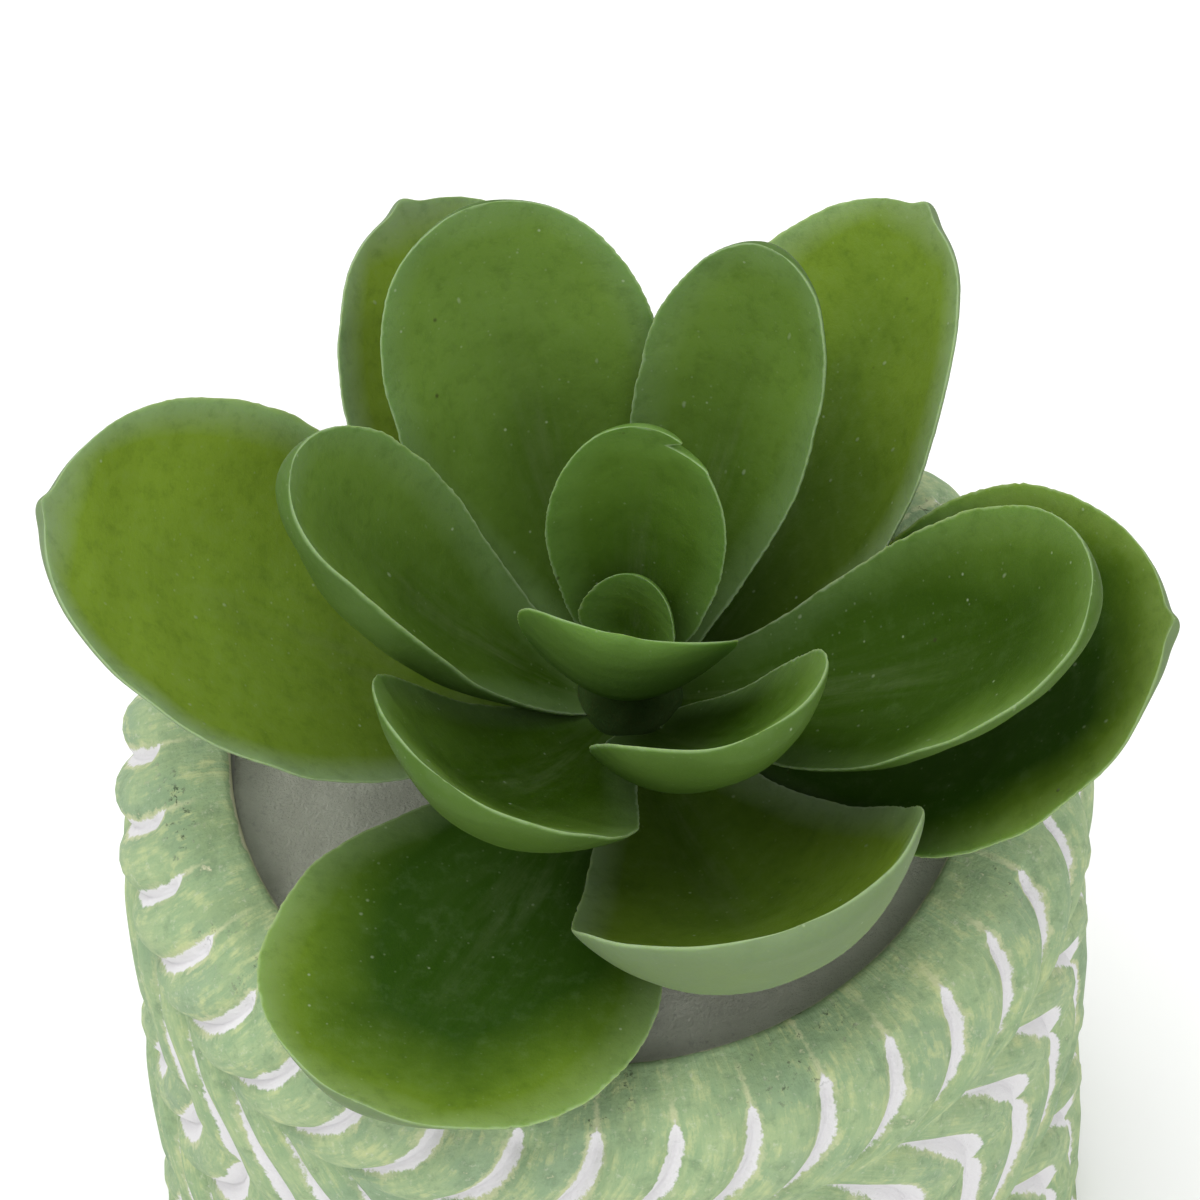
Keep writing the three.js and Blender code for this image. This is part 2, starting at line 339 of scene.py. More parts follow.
# %% Building a material
class Finish:
    def __init__(self, name):
        self.material = bpy.data.materials.new(name)
        self.material.use_nodes = True
        self.tree = self.material.node_tree
        self.shader = self.tree.nodes["Principled BSDF"]
        self.place = field(self.tree, "ShaderNodeTexCoord", output="Object")

    def mark(self, name):
        """A value that the piece's mesh carries at each point."""
        return field(self.tree, "ShaderNodeAttribute", output="Fac", attribute_name=name)

    def mix(self, under, over, mask):
        """One colour over another, where the mask is 1."""
        placed = node(self.tree, "ShaderNodeMix", data_type="RGBA")
        plug(self.tree, mask, placed.inputs["Factor"])
        for socket, value in ((placed.inputs[6], under), (placed.inputs[7], over)):
            plug(self.tree, value if isinstance(value, Field) else (*value, 1), socket)
        return Field(self.tree, placed.outputs[2])

    def set(self, colour, roughness, height, strength, **constants):
        """Colour, roughness and bump over the surface, and constants on the shader itself."""
        plug(self.tree, colour, self.shader.inputs["Base Color"])
        plug(self.tree, roughness, self.shader.inputs["Roughness"])
        bump = node(self.tree, "ShaderNodeBump", {"Height": height, "Distance": MM})
        bump.inputs["Strength"].default_value = strength
        self.tree.links.new(bump.outputs[0], self.shader.inputs["Normal"])
        for name, value in constants.items():
            self.shader.inputs[name.replace("_", " ")].default_value = value
        return self.material


print("Finish ready")

# %% [markdown]
# ## The leaf finish
# The leaves are waxy and a little see-through. Where a leaf is thin, at its rim, more light comes
# through and the green turns pale; in its thick middle it is deep. Painted shade darkens the middle
# and the root further, as much as the shade that each leaf's neighbours cast on it. The mesh carries
# the distance from the rim, so the colour can follow it. Dust lies along the middle, with a few
# scratches and specks.

# %% Leaf materials
DUST = (0.13, 0.17, 0.075)
EDGE_LINE = (0.32, 0.42, 0.26)
WHITE_SPECK = (0.30, 0.37, 0.23)
POWDER = (0.26, 0.32, 0.19)
DARK_SPECK = (0.03, 0.025, 0.01)


def drawn_out(tree, place):
    """The place, drawn out so that specks on it become hair-thin scratches."""
    inputs = {"Vector": place, "Rotation": (0.5, 0.3, 0.4), "Scale": (620, 620, 90)}
    return field(tree, "ShaderNodeMapping", inputs)


def leaf_finish(name, bright, middle, deep, pale, under):
    finish = Finish(name)
    tree, place = finish.tree, finish.place
    rim, along, across = finish.mark("rim"), finish.mark("along"), finish.mark("across")
    below, shade = finish.mark("below"), finish.mark("shade")
    mottle = clouds(tree, place, 90, 3.0)
    soft = rim + (mottle - 0.5) * 1.6

    # From the bright border to the deep middle and root, and the pale rim. The deep middle is partly
    # the thicker wax and partly painted shade, scaled by the leaf's shade mark, which also weakens the
    # pale rim on shaded leaves
    middle_depth_and_shade = soft.ramp(-1.0, 12.5) * shade
    # Painted shade: darker towards the root, in the crevice between the leaves and the stem
    root = along.ramp(0.72, 0.12) * (shade * 0.4 + 0.5)
    depth = (middle_depth_and_shade + root + (mottle - 0.5) * 0.25).least(1)
    colour = finish.mix(bright, middle, depth.ramp(0.0, 0.5))
    colour = finish.mix(colour, deep, depth.ramp(0.45, 1.0))
    colour = finish.mix(colour, pale, soft.ramp(3.4, 0.3) * (0.94 - shade * 0.45))

    # A haze of dust along the middle, cloudiness, the underside and the moulded edge
    lengthwise = vector(tree, across * 9, along * 3.5, rim * 0.1)
    haze = clouds(tree, lengthwise, 1.0, 5.0, 0.7).ramp(0.42, 0.75)
    dust = (across.bell(0.25) * 0.7 + 0.15) * along.ramp(0.95, 0.3) * haze
    colour = finish.mix(colour, DUST, dust * 0.38)
    cloudy = clouds(tree, place, 620, 5.0, 0.7)
    colour = finish.mix(colour, deep, cloudy.ramp(0.50, 0.28) * 0.28)
    colour = finish.mix(colour, pale, cloudy.ramp(0.52, 0.75) * 0.10)
    colour = finish.mix(colour, under, below * (0.62 + mottle * 0.4))
    edge_line = (rim + clouds(tree, place, 900, 3.0) * 0.5).ramp(0.50, 0.26)
    edge_line = edge_line * (1 - below * 0.9)
    colour = finish.mix(colour, EDGE_LINE, edge_line * 0.45)

    # Specks, powder and scratches
    white = from_group(tree, SPECKS, place, Scale=620.0, Size=0.10, Amount=0.26)
    powder = from_group(tree, SPECKS, place, Scale=1500.0, Size=0.20, Amount=0.30)
    dark = from_group(tree, SPECKS, place, Scale=340.0, Size=0.08, Amount=0.10)
    scratch = from_group(tree, SPECKS, drawn_out(tree, place), Scale=1.0, Size=0.12, Amount=0.20)
    dusted = mottle.ramp(0.35, 0.65)
    colour = finish.mix(colour, WHITE_SPECK, white * 0.55 + scratch * 0.34)
    colour = finish.mix(colour, POWDER, powder * dusted * 0.28)
    colour = finish.mix(colour, DARK_SPECK, dark * 0.65)

    roughness = 0.44 + mottle * 0.16 + below * 0.08
    height = from_group(tree, GRAIN, place, Fine=0.16, Coarse=0.6) + scratch * 0.2 + cloudy * 0.3
    return finish.set(
        colour,
        roughness,
        height,
        0.22,
        Subsurface_Weight=0.25,
        Subsurface_Radius=(0.7, 1.0, 0.15),
        Subsurface_Scale=2.0 * MM,
        IOR=1.4,
        Specular_IOR_Level=0.12,
    )


LEAF_FINISHES = {
    "outer": leaf_finish(
        "outer leaf wax",
        bright=(0.150, 0.235, 0.020),
        middle=(0.085, 0.150, 0.012),
        deep=(0.020, 0.056, 0.003),
        pale=(0.205, 0.290, 0.140),
        under=(0.135, 0.190, 0.095),
    ),
    "middle": leaf_finish(
        "middle leaf wax",
        bright=(0.125, 0.215, 0.034),
        middle=(0.066, 0.126, 0.014),
        deep=(0.024, 0.058, 0.002),
        pale=(0.130, 0.215, 0.075),
        under=(0.052, 0.103, 0.014),
    ),
    "inner": leaf_finish(
        "inner leaf wax",
        bright=(0.095, 0.180, 0.024),
        middle=(0.062, 0.126, 0.012),
        deep=(0.028, 0.068, 0.004),
        pale=(0.115, 0.215, 0.045),
        under=(0.088, 0.168, 0.030),
    ),
}
print(len(LEAF_FINISHES), "leaf finishes")

# %% [markdown]
# ## The leaf
# A leaf is a spoon: narrow at the root, broadest past its middle, cupped across and curled along.
# The ball's poles become the root and the tip, and its girth becomes the section: the upper half
# lies on the cup, and the lower half swells below it. The rim gets the slight waviness of a moulded
# edge. A leaf could be modelled by hand, but fifteen that share one rule are quicker to grow, and
# each can still have its own fold, point or slit.

# %% Leaf tree
LEAF_SIZES = """turn rise curl length width cup roll height root thickness widest neck tip
fold flat point slit slit_at shade seed""".split()
LEAF_SEGMENTS = 96
LEAF_RINGS = 150
ROOT_RUN = 2 * MM  # how far a root runs on inwards, into the stem
ROOT_ROUNDING = ROOT_RUN * 2.5  # how far a root takes to reach its full width
TIP_ROUNDING = 1.4 * MM
LEAF_EDGE_SHARE = 0.26  # the thickness at the rim, as a share of that in the middle
WAVE_SHARE = 0.020  # the rim's waviness, as a share of the leaf's length
SWAY_SHARE = 0.03  # the unevenness of the face, as a share of the leaf's length
NICK_DEPTH = 0.45 * MM
SLIT_SHARE = 0.04  # half the width of a slit at the rim, as a share of the leaf's length
POINT_WIDTH = 1.1 * MM
CHANNEL_WIDTH = 1.8 * MM
CHANNEL_DEPTH = 0.6 * MM
PLANT_OFFSET = 2.5 * MM  # the stem stands this far beside the middle of the pot


def leaf_tree():
    """A tree that bends a ball into one leaf, standing in its place on the stem."""
    shape = Shape("leaf", LEAF_SIZES)
    tree = shape.tree
    mesh, (x, y, z) = shape.ball(LEAF_SEGMENTS, LEAF_RINGS)
    s = {name: shape.size(name) for name in LEAF_SIZES}
    girth = (x * x + y * y) ** 0.5
    root_share = (s["length"] / ROOT_RUN) ** -1
    along = (1 - z) * 0.5 * (root_share + 1) - root_share
    across = x / girth
    through = y / girth * -1

    # Half the width, from the neck out to the broadest place and round to the tip
    spread = ((along.most(0) / s["widest"]).least(1) * (math.pi / 2)).sin() ** 1.4
    before = s["neck"] + (s["width"] * 0.5 - s["neck"]) * spread
    past = along.ramp(s["widest"], 1.0)
    rounding = (1 - past ** s["tip"]).most(0) ** 0.5
    side_sign = across.math("SIGN")
    rim_place = vector(tree, along * s["length"] * 0.13 / MM, side_sign * 5, s["seed"])
    wave = (clouds(tree, rim_place, 1.0, 1.0) - 0.5) * s["length"] * WAVE_SHARE
    nicks = (clouds(tree, rim_place, 22.0, 3.0, 0.7) - 0.5) * NICK_DEPTH
    near_rim = across.math("ABSOLUTE") ** 6
    slit = (along - s["slit_at"]).math("ABSOLUTE").ramp(SLIT_SHARE, 0) * s["slit"]
    slit = slit * (across * -1).ramp(0.0, 0.1)
    half = before * rounding + (wave + nicks) * near_rim * rounding.ramp(0.0, 0.4) - slit
    into_stem = ((along + root_share) * s["length"] / ROOT_ROUNDING).least(1)
    root_nose = (into_stem * (2 - into_stem)).most(0) ** 0.5
    half = half.most(0) * root_nose

    # Along the leaf: a bend of even curvature, with a small point at the very tip
    off_middle = across * half
    point = off_middle.bell(POINT_WIDTH) * along.most(0) ** 24 * s["point"]
    slope = s["rise"] + s["curl"] * (along + point / s["length"])
    bend = s["length"] / s["curl"]
    reach = s["root"] + bend * (slope.sin() - s["rise"].sin())
    rise = bend * (s["rise"].cos() - slope.cos())

    # Across the leaf: an arc that either side may fold or flatten, with a channel along its middle
    cup_radius = s["width"] * 0.5 / s["cup"]
    folding = 1 + across.ramp(0.2, 1.0) * s["fold"] + (across * -1).ramp(0.2, 1.0) * s["flat"]
    cup_radius = cup_radius / folding
    cup_angle = across * half / cup_radius
    body = ((along.most(0) * 0.85 + 0.1) * math.pi).sin() ** 0.85
    swell = (1 - across * across) * body * (1 - LEAF_EDGE_SHARE) + LEAF_EDGE_SHARE
    lower = s["thickness"] * swell * (through * -1).most(0) ** 0.8
    channel = off_middle.bell(CHANNEL_WIDTH) * through.most(0) * along.ramp(0.75, 0.1)
    uneven = vector(tree, along * 5, off_middle * 0.09 / MM, s["seed"])
    sway = (clouds(tree, uneven, 1.0, 1.0) - 0.5) * s["length"] * SWAY_SHARE * along.most(0)
    from_tip = ((1 - along) * s["length"] / TIP_ROUNDING).least(1)
    nose = (1 - (1 - from_tip) ** 2) ** 0.5
    depth = (lower * nose + channel * CHANNEL_DEPTH) * root_nose + sway
    arc = cup_radius + depth
    side = arc * cup_angle.sin()
    lift = cup_radius - arc * cup_angle.cos()

    # Rolled about its own length, lifted to its slope and turned to its heading
    roll = s["roll"] * along
    sideways = side * roll.cos() - lift * roll.sin()
    over = side * roll.sin() + lift * roll.cos()
    out = reach - over * slope.sin()
    turn = s["turn"]
    place = vector(
        tree,
        out * turn.cos() - sideways * turn.sin() + PLANT_OFFSET,
        out * turn.sin() + sideways * turn.cos(),
        s["height"] + rise + over * slope.cos(),
    )

    # What the finish needs to know at each point
    to_side = (1 - across.math("ABSOLUTE")) * half / MM
    to_tip = (1 - along) * s["length"] / MM
    marks = {
        "rim": to_side.least(to_tip),
        "along": along,
        "across": across,
        "below": (through * -1).ramp(0.0, 0.25),
        # The amount of painted shade that the neighbouring leaves cast on this leaf
        "shade": s["shade"],
    }
    shape.finish(mesh, place, marks)
    return shape


LEAF = leaf_tree()
print("leaf tree:", len(LEAF.tree.nodes), "nodes")

# %% [markdown]
# ## The rosette
# Four rings stand one above the other on the stem, as they are threaded on when the plant is put
# together. Leaves of one ring start from the same thickness and outline, and each has its own
# heading, slope, curl and size. The last table holds what is special to single leaves: a fuller root,
# a flatter or folded side, a point, a slit, and how much painted shade darkens each leaf where its
# neighbours shade it. Lengths are in millimetres and angles in degrees.

# %% Rings and leaves
RINGS = {
    "outer": dict(height=1, root=4, thickness=4, widest=0.62, neck=3.4, tip=1.9),
    "middle": dict(height=6.5, root=3.6, thickness=3.6, widest=0.62, neck=3.0, tip=2.3),
    "inner": dict(height=11.5, root=2.2, thickness=2.6, widest=0.55, neck=4.4, tip=2.6),
    "heart": dict(height=13.6, root=0.6, thickness=1.5, widest=0.5, neck=3.2, tip=2.6),
}
LEAVES = {
    "leaf_outer_1": dict(turn=171, rise=15, curl=35, length=50, width=32, cup=38, roll=-4),
    "leaf_outer_2": dict(turn=114, rise=15, curl=35, length=43, width=28, cup=38, roll=14),
    "leaf_outer_3": dict(turn=52, rise=15, curl=35, length=45, width=28, cup=38, roll=-20),
    "leaf_outer_4": dict(turn=-8, rise=10, curl=38, length=45, width=33, cup=38, roll=5),
    "leaf_outer_5": dict(turn=-70, rise=-5, curl=80, length=40, width=32, cup=45, roll=0),
    "leaf_outer_6": dict(turn=-121, rise=-2, curl=29, length=42, width=31, cup=30, roll=0),
    "leaf_middle_1": dict(turn=111, rise=35, curl=30, length=40, width=24, cup=42, roll=-10),
    "leaf_middle_2": dict(turn=59, rise=35, curl=40, length=38, width=17, cup=42, roll=0),
    "leaf_middle_3": dict(turn=175, rise=38, curl=35, length=39, width=19, cup=50, roll=-5),
    "leaf_middle_4": dict(turn=-15, rise=17, curl=43, length=44, width=24, cup=42, roll=5),
    "leaf_middle_5": dict(turn=-126, rise=22, curl=46, length=31, width=25, cup=42, roll=-7),
    "leaf_middle_6": dict(turn=-66, rise=47, curl=15, length=34, width=21, cup=45, roll=0),
    "leaf_inner_1": dict(turn=76, rise=60, curl=20, length=21, width=16, cup=45, roll=0),
    "leaf_inner_2": dict(turn=-92, rise=62, curl=12, length=19, width=18, cup=42, roll=-14),
    "leaf_heart_1": dict(turn=75, rise=66, curl=15, length=6.5, width=8, cup=45, roll=0),
}
# shade is painted shade: how much a leaf's neighbours darken its middle and root
OWN_MARKS = {
    "leaf_outer_1": dict(width=33.5, point=0.8, shade=0.1),
    "leaf_outer_2": dict(point=0.8, shade=0),
    "leaf_outer_3": dict(point=0.9, neck=5, widest=0.56, tip=1.8, shade=0.45),
    "leaf_outer_4": dict(point=1.0, neck=2.0, flat=-0.5, shade=1.6),
    "leaf_outer_5": dict(neck=5.5, widest=0.74, tip=2.4, height=2.0, shade=0.3),
    "leaf_outer_6": dict(neck=4.5, widest=0.56, tip=2.4, height=1.2, fold=-0.93, flat=-0.6, shade=1.1),
    "leaf_middle_1": dict(flat=-0.3, shade=0.35),
    "leaf_middle_2": dict(shade=0.5),
    "leaf_middle_3": dict(fold=0.25, shade=0.6),
    "leaf_middle_4": dict(neck=4, shade=1.4),
    "leaf_middle_5": dict(neck=4, widest=0.7, fold=-0.2, flat=-0.25, shade=1.0),
    "leaf_middle_6": dict(neck=4, widest=0.7, shade=1.2),
    "leaf_inner_1": dict(neck=5.0, tip=2.0, slit=2.8, slit_at=0.925, shade=0.5),
    "leaf_inner_2": dict(neck=5.0, widest=0.7, height=12.4, point=0.5, fold=-0.3, flat=-0.45),
    "leaf_heart_1": dict(turn=60, height=13.1, neck=4.6, widest=0.3, tip=1.7, width=9.5, length=7.2),
}
ANGLES = ("turn", "rise", "curl", "cup", "roll")
LENGTHS = ("length", "width", "height", "root", "thickness", "neck", "point", "slit")
# A leaf without a shade of its own gets a middling amount of painted shade
NO_MARKS = dict(fold=0, flat=0, point=0, slit=0, slit_at=0, shade=0.35)
SEED_STEP = 7.3  # sets each leaf in a part of the noise of its own


def leaf_sizes(name, ring, seed):
    """All sizes of a leaf, in metres and radians, with its height above the pot's base."""
    sizes = NO_MARKS | RINGS[ring] | LEAVES[name] | OWN_MARKS[name] | {"seed": seed}
    for label in ANGLES:
        sizes[label] = math.radians(sizes[label])
    for label in LENGTHS:
        sizes[label] *= MM
    sizes["height"] += RIM
    return sizes


for number, name in enumerate(LEAVES):
    ring = name.split("_")[1]
    wax = "inner" if ring == "heart" else ring
    sizes = leaf_sizes(name, ring, number * SEED_STEP)
    blade = LEAF.grow(name + "_blade", LEAF_FINISHES[wax], sizes)
    settle(blade, wax + "_leaf", name)

# %% [markdown]
# ## The pot's paint
# The pot was cast white and brushed with a thin sage-green wash. The wash took on the raised strokes
# and left the grooves between them white, with ragged edges and a yellowish fringe where it thinned
# out. Brush marks run down along the strokes. Inside it was left bare and grey. The edge of the paint
# could be a picture, but here the mesh carries how far each point is from a groove, and noise frays it.

# %% Pot material
WASH = (0.250, 0.365, 0.198)
LIGHT_WASH = (0.355, 0.455, 0.240)
COOL_WASH = (0.240, 0.345, 0.215)
THICK_WASH = (0.150, 0.240, 0.105)
CREAM = (0.490, 0.545, 0.270)
DARK_DAB = (0.165, 0.250, 0.135)
PALE_GRAIN = (0.600, 0.620, 0.480)
FRINGE = (0.530, 0.560, 0.330)
CAST_WHITE = (0.700, 0.690, 0.700)
SOIL = (0.035, 0.060, 0.025)
BARE_DARK = (0.380, 0.375, 0.340)
BARE_LIGHT = (0.520, 0.510, 0.480)
PAINT_LINE = (0.060, 0.075, 0.045)
PAINT_BORDER = (0.560, 0.560, 0.370)


def pot_finish():
    finish = Finish("brushed sage wash")
    tree, place = finish.tree, finish.place
    groove, share, down = finish.mark("groove"), finish.mark("share"), finish.mark("down")
    painted, bold = finish.mark("painted"), finish.mark("bold")
    round_x, round_y = finish.mark("round_x"), finish.mark("round_y")
    brush = vector(tree, round_x * 1.5, round_y * 1.5, down * 0.35)
    streaks = clouds(tree, brush, 1.0, 4.0, 0.68)
    patches = clouds(tree, place, 110, 4.0, 0.6)
    dabs = clouds(tree, place, 420, 5.0, 0.68)
    fine = clouds(tree, place, 1500, 4.0, 0.7)
    ragged = (fine - 0.5) * 1.1 + (dabs - 0.5) * 0.9

    # The wash: light, cool, thick, creamy and dark by turns
    blotches = clouds(tree, place, 230, 5.0, 0.66)
    washed = (streaks * 0.45 + blotches * 0.55).ramp(0.38, 0.60)
    colour = finish.mix(WASH, LIGHT_WASH, washed)
    colour = finish.mix(colour, COOL_WASH, patches.ramp(0.50, 0.66) * 0.7)
    thick_wash = down.ramp(2.5, -3.0) * (blotches * 0.6 + patches * 0.4).ramp(0.42, 0.56)
    colour = finish.mix(colour, THICK_WASH, thick_wash * 0.45)
    cream = (dabs * 0.6 + streaks * 0.4).ramp(0.52, 0.64)
    colour = finish.mix(colour, CREAM, cream * 0.8)
    colour = finish.mix(colour, DARK_DAB, dabs.ramp(0.46, 0.30) * 0.7)
    colour = finish.mix(colour, PALE_GRAIN, fine.ramp(0.58, 0.72) * 0.4)

    # White shows in each groove: a point at the spine, broad and blunt at the far end
    blunt = (1 - ((share - 0.82) / 0.19).most(0) ** 2).most(0) ** 0.5
    swelling = share.ramp(0.0, 0.5) * blunt * down.ramp(-0.6, 0.3)
    half_white = swelling * (bold * 0.60 + 0.78)
    white = (half_white - groove + ragged * 0.8).ramp(0.0, 0.16) * swelling.ramp(0.03, 0.2)
    thin = (half_white + 0.42 - groove + ragged * 1.3).ramp(0.0, 0.3) * share.ramp(0.05, 0.3)
    tip = (0.42 - groove + ragged * 0.9).ramp(0.0, 0.3) * (down + 0.6).bell(1.3)
    fringe = (thin * share.ramp(1.05, 0.98) * patches.ramp(0.44, 0.60)).most(tip)
    colour = finish.mix(colour, FRINGE, fringe * 0.8)
    colour = finish.mix(colour, CAST_WHITE, white)

    # A little soil near the mouth, and the bare inside where the paint ends
    near_mouth = down.ramp(3.0, -1.0) * patches.ramp(0.48, 0.58)
    soil = fine.ramp(0.57, 0.62) * dabs.ramp(0.44, 0.54) * near_mouth
    colour = finish.mix(colour, SOIL, soil * 0.85)
    bare = finish.mix(BARE_DARK, BARE_LIGHT, patches)
    uneven_edge = painted * (1 + (dabs - 0.5) * 1.6)
    bare = finish.mix(bare, PAINT_LINE, uneven_edge.ramp(0.06, 0.16) * 0.7)
    bare = finish.mix(bare, PAINT_BORDER, uneven_edge.ramp(0.26, 0.36))
    colour = finish.mix(bare, colour, uneven_edge.ramp(0.60, 0.72))

    roughness = 0.72 + dabs * 0.2
    grain = from_group(tree, GRAIN, place, Fine=0.5, Coarse=0.6)
    height = grain + dabs * 0.5 + streaks * 0.6 + white * 0.25
    return finish.set(colour, roughness, height, 0.42, Specular_IOR_Level=0.3)


SAGE_WASH = pot_finish()
print(SAGE_WASH.name, "has", len(SAGE_WASH.node_tree.nodes), "nodes")

# %% [markdown]
# ## The pot
# The relief is one rule: thirty-six strokes to a row, each leaving its spine at a slant and curving
# round until it points straight away from it, with every second row mirrored. The strokes could be
# cut into a smooth pot, but here the columns of the mesh follow them, so each groove lies on one
# column and stays crisp. The columns are also drawn together near the grooves.

# %% Pot tree
POT_SIZES = "radius height mouth lip land floor foot inset relief start first rows slant".split()
STROKES = 36
COLUMNS_PER_STROKE = 10
POT_RINGS = 250
CROWDING = 0.6  # how much the columns draw together at a groove
WOBBLE = 0.7 * MM  # the hand-made unevenness of the outside

# Where each stretch of the pot's skin ends, as a share of the way up the ball
BASE_END, FOOT_END, RELIEF_END = 0.02, 0.04, 0.82
SHOULDER_END, LAND_END, LIP_END, INSIDE_END = 0.89, 0.90, 0.93, 0.97


def pot_tree():
    """A tree that turns a ball into the pot, from the middle of its base to its inner floor."""
    shape = Shape("pot", POT_SIZES)
    tree = shape.tree
    mesh, (x, y, z) = shape.ball(STROKES * COLUMNS_PER_STROKE, POT_RINGS)
    s = {name: shape.size(name) for name in POT_SIZES}
    level = 1 - z.math("ARCCOSINE") / math.pi
    column = y.math("ARCTAN2", x) / (2 * math.pi) * STROKES
    phase = column.math("FRACT")
    crowded = phase - (phase * (2 * math.pi)).sin() * (CROWDING / (2 * math.pi))
    turn = (column.math("FLOOR") + crowded) * (2 * math.pi / STROKES)

    # The smooth outline
    shoulder = s["radius"] - s["mouth"] - s["lip"] - s["land"]
    shoulder_arc = shoulder * (math.pi / 2 - s["start"])
    length = shoulder_arc + s["height"] - shoulder - s["foot"]
    down = length * level.ramp(RELIEF_END, FOOT_END)
    top = s["start"] * level.ramp(SHOULDER_END, RELIEF_END)
    angle = top.least(s["start"]) + down.least(shoulder_arc) / shoulder
    radius = s["radius"] - shoulder + shoulder * angle.sin()
    height = s["height"] - shoulder + shoulder * angle.cos() - (down - shoulder_arc).most(0)

    # The relief: rows, the share along a stroke, and the depth of a groove
    pitch = length / s["rows"]
    row = down / pitch
    spine = (row * 0.5).math("FLOOR") * 2 + 1
    share = (row - spine).math("ABSOLUTE").least(1)
    slant = s["slant"] * (1 - (1 - share) ** 2)
    crest = 1 - (crowded * 2 - 1).math("ABSOLUTE")
    puffed = 1 - (1 - crest) ** 2.2
    dip = share.bell(0.14) * 0.6 + (1 - share).bell(0.12) * (row - 0.5).ramp(0.0, 0.2) * 0.35
    fade = (down / MM).ramp(0.0, 1.8) * level.ramp(FOOT_END, FOOT_END + 0.01)
    uneven = vector(tree, turn.cos() * 2.2, turn.sin() * 2.2, height * 60)
    wobble = (clouds(tree, uneven, 1.0, 2.0) - 0.5) * WOBBLE
    depth = s["relief"] * fade * (1 - puffed * (1 - dip)) + wobble * fade
    radius = radius - depth * angle.sin()
    height = height - depth * angle.cos()

    # The foot, the lip and the inside
    radius = radius - s["inset"] * level.ramp(FOOT_END, BASE_END)
    radius = radius * level.ramp(0.0, BASE_END)
    height = height * level.ramp(BASE_END, FOOT_END)
    lip = level.ramp(LAND_END, LIP_END) * (math.pi / 2)
    radius = radius - s["land"] * level.ramp(SHOULDER_END, LAND_END) - s["lip"] * lip.sin()
    height = height - s["lip"] * (1 - lip.cos())
    drop = s["height"] - s["lip"] - s["floor"]
    height = height - drop * level.ramp(LIP_END, INSIDE_END)
    radius = radius * level.ramp(1.0, INSIDE_END)

    # Each point's place, and what the paint needs to know there
    heading = turn + slant + s["first"]
    place = vector(tree, radius * heading.sin(), radius * heading.cos() * -1, height)
    pitch_round = s["radius"] * (2 * math.pi / STROKES)
    lean = (s["slant"] * s["radius"] * 2 * (1 - share) / pitch).math("ARCTANGENT")
    marks = {
        "groove": crest * 0.5 * pitch_round * lean.cos() / MM,
        "share": share,
        "down": (down - shoulder * (s["start"] - top)) / MM,
        "round_x": turn.cos() * s["radius"] / MM,
        "round_y": turn.sin() * s["radius"] / MM,
        "bold": (row - 0.6).ramp(0.0, 0.8),
        "painted": level.ramp(LIP_END + 0.004, LIP_END - 0.022),
    }
    shape.finish(mesh, place, marks)
    return shape


POT = dict(
    radius=40 * MM,
    height=RIM,
    mouth=30 * MM,
    lip=1 * MM,
    land=0.5 * MM,  # a flat ring between the shoulder and the lip
    floor=8 * MM,
    foot=2 * MM,
    inset=2 * MM,  # how far the foot is drawn in at the base
    relief=1.6 * MM,
    start=math.radians(30),  # where on the shoulder the relief begins
    first=math.radians(4),
    rows=6,
    slant=math.radians(13),  # how far round the pot a stroke swings
)
pot = pot_tree().grow("pot_body", SAGE_WASH, POT)
settle(pot, "painted_pot", "pot")

# %% [markdown]
# ## Turned pieces
# The filling and the stem are both round, so each could be turned on a lathe: a profile goes once
# round an axis. A few lines of mesh code do that. They close the skin at both ends of the axis, and
# they let each point be moved a little, because neither piece is perfectly round.

# %% Turned pieces
def turned(name, profile, sides, offset, roughen):
    """A closed skin turned from [radius, height] pairs in mm, its points then moved a little."""
    points = [Vector((offset, 0, profile[0][1])) * MM]
    for radius, height in profile[1:-1]:
        for side in range(sides):
            angle = 2 * math.pi * side / sides
            point = Vector((offset + radius * math.cos(angle), radius * math.sin(angle), height))
            points.append(roughen(point) * MM)
    points.append(Vector((offset, 0, profile[-1][1])) * MM)
    rows = len(profile) - 2
    last = len(points) - 1
    faces = []
    for side in range(sides):
        after = (side + 1) % sides
        faces.append((0, 1 + after, 1 + side))
        for row in range(rows - 1):
            low, high = 1 + row * sides, 1 + (row + 1) * sides
            faces.append((low + side, low + after, high + after, high + side))
        top = 1 + (rows - 1) * sides
        faces.append((top + side, top + after, last))
    mesh = bpy.data.meshes.new(name)
    mesh.from_pydata(points, [], faces)
    mesh.shade_smooth()
    piece = bpy.data.objects.new(name, mesh)
    bpy.context.scene.collection.objects.link(piece)
    return piece


print("turned() ready")

# %% [markdown]
# ## The filling
# The filling is a pale, cement-like plug, poured in to a little below the rim to hold the stem. Its
# top could be a flat disc, but a poured top ripples and creeps up the wall, so it has many rings of
# points, each raised by a little smooth noise. It reaches a hair into the wall, which closes the ring
# between the two.

# %% Filling
FILLING_TOP = RIM / MM - 6
FILLING_RADIUS = POT["mouth"] / MM + 0.03
FILLING_BASE = POT["floor"] / MM + 0.3  # a little clear of the pot's floor
FILLING_RINGS = 40
FILLING_SIDES = 120
WALL_STEP = 20
CREEP = 0.9  # how far it crept up at the wall


def filling_finish():
    finish = Finish("pale cement")
    tree, place = finish.tree, finish.place
    patches = clouds(tree, place, 130, 5.0, 0.6)
    fine = clouds(tree, place, 1500, 4.0, 0.7)
    colour = finish.mix((0.490, 0.500, 0.415), (0.690, 0.705, 0.600), patches.ramp(0.3, 0.7))
    colour = finish.mix(colour, (0.320, 0.315, 0.290), fine.ramp(0.58, 0.75) * 0.5)
    height = from_group(tree, GRAIN, place, Fine=0.8, Coarse=0.8)
    return finish.set(colour, 0.85 + fine * 0.1, height, 0.6, Specular_IOR_Level=0.25)


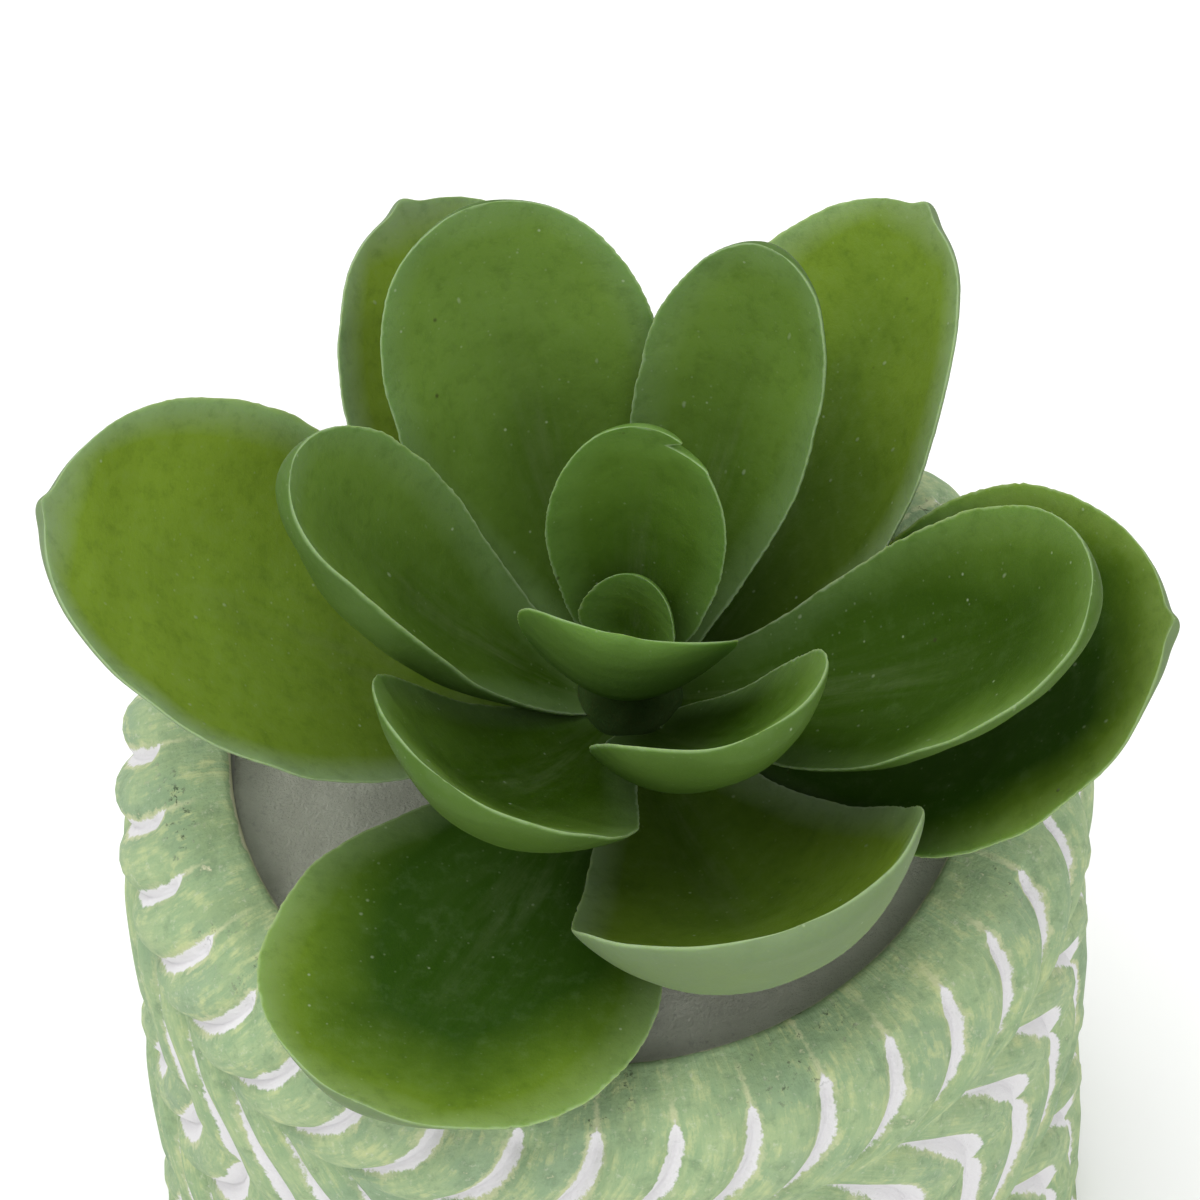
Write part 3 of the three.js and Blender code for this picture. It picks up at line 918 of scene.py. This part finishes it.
def poured(point):
    """Uneven on top, and crept up where it meets the wall."""
    out = math.hypot(point.x, point.y) / FILLING_RADIUS
    if point.z > FILLING_BASE + 1:
        ripple = noise.noise(point * 0.16) * 0.5 + noise.noise(point * 0.7) * 0.15
        point.z += ripple + CREEP * out**14
    return point


filling_profile = [(0, FILLING_BASE), (FILLING_RADIUS, FILLING_BASE)]
filling_profile += [(FILLING_RADIUS, FILLING_BASE + WALL_STEP * step) for step in (1, 2, 3)]
for ring in range(FILLING_RINGS, 0, -1):
    filling_profile.append((FILLING_RADIUS * ring / FILLING_RINGS, FILLING_TOP))
filling_profile.append((0, FILLING_TOP))
filling = turned("filling_plug", filling_profile, FILLING_SIDES, 0, poured)
filling.data.materials.append(filling_finish())
settle(filling, "filling", "filling")

# %% [markdown]
# ## The stem
# The stem is a short moulded rod that narrows upwards, with a slight collar where each of the three
# lower rings sits. The leaves hide most of it, so a turned profile is enough. It starts inside the
# filling and is thick enough to close over the leaves' roots.

# %% Stem
STEM_AXIS = PLANT_OFFSET / MM
STEM_RADIUS = 4.5
STEM_FOOT_RADIUS = 4.2
STEM_FOOT_DEPTH = 3.5  # how far down into the filling it starts
STEM_TAPER = 0.014
COLLAR_DEPTH = 0.25
COLLAR_WIDTH = 0.9
STEM_STEPS = 60
STEM_SIDES = 48


def stem_finish():
    finish = Finish("stem green")
    tree, place = finish.tree, finish.place
    patches = clouds(tree, place, 200, 4.0)
    colour = finish.mix((0.018, 0.042, 0.006), (0.045, 0.085, 0.016), patches.ramp(0.3, 0.7))
    height = from_group(tree, GRAIN, place, Fine=0.3, Coarse=0.8)
    return finish.set(
        colour, 0.45 + patches * 0.15, height, 0.4, Subsurface_Weight=0.15, Subsurface_Scale=MM
    )


def knobbly(point):
    """Swollen or drawn in about the stem's axis by up to a twentieth."""
    swell = 1 + 0.05 * noise.noise(point * 0.6)
    return Vector((STEM_AXIS + (point.x - STEM_AXIS) * swell, point.y * swell, point.z))


def stem_profile():
    """Narrows ever faster above the rim, with a collar at each of the lower rings."""
    bottom, top = FILLING_TOP - STEM_FOOT_DEPTH, RIM / MM + RINGS["heart"]["height"] - 2
    profile = [(0, bottom), (STEM_FOOT_RADIUS, bottom)]
    for step in range(STEM_STEPS + 1):
        height = bottom + (top - bottom) * step / STEM_STEPS
        above = height - RIM / MM
        radius = STEM_RADIUS - STEM_TAPER * max(0, above) ** 2
        for ring in ("outer", "middle", "inner"):
            from_collar = (above - RINGS[ring]["height"]) / COLLAR_WIDTH
            radius += COLLAR_DEPTH * math.exp(-(from_collar**2))
        profile.append((radius, height))
    return profile + [(0, top)]


stem = turned("stem_rod", stem_profile(), STEM_SIDES, STEM_AXIS, knobbly)
stem.data.materials.append(stem_finish())
settle(stem, "stem", "stem")

# %% [markdown]
# ## Floor and light
# The object stands on a plain pale floor under soft studio light: a wide panel overhead and a little
# to the left, a weaker one from the front right, and an even sky that keeps the shadows open. Lamps
# could be small and hard, but wide panels give wax its soft, broad sheen.

# %% Studio
FLOOR_HALF = 3
SKY_STRENGTH = 0.82


def studio_floor():
    mesh = bpy.data.meshes.new("floor")
    corners = [(x * FLOOR_HALF, y * FLOOR_HALF, 0) for x, y in ((-1, -1), (1, -1), (1, 1), (-1, 1))]
    mesh.from_pydata(corners, [], [(0, 1, 2, 3)])
    floor = bpy.data.objects.new("floor", mesh)
    bpy.context.scene.collection.objects.link(floor)
    finish = Finish("pale floor")
    shade = clouds(finish.tree, finish.place, 3)
    colour = finish.mix((0.90, 0.90, 0.90), (0.93, 0.93, 0.93), shade)
    floor.data.materials.append(finish.set(colour, 0.8 + shade * 0.05, shade, 0.02))


def panel(name, place, size, power):
    """A square lamp that faces the plant."""
    light = bpy.data.objects.new(name, bpy.data.lights.new(name, "AREA"))
    light.data.size = size
    light.data.energy = power
    light.location = place
    aim = Vector((0, 0, RIM)) - Vector(place)
    light.rotation_euler = aim.to_track_quat("-Z", "Y").to_euler()
    bpy.context.scene.collection.objects.link(light)


studio_floor()
panel("key panel", (-0.32, 0.10, 1.1), 1.0, 9)
panel("fill panel", (0.3, -0.9, 0.8), 0.9, 3.5)
world = bpy.data.worlds.new("soft sky")
world.use_nodes = True
sky = world.node_tree.nodes["Background"]
sky.inputs["Color"].default_value = (1, 1, 1, 1)
sky.inputs["Strength"].default_value = SKY_STRENGTH
bpy.context.scene.world = world
bpy.context.scene.view_settings.view_transform = "Standard"
print("a floor, two panels and a sky of strength", SKY_STRENGTH)
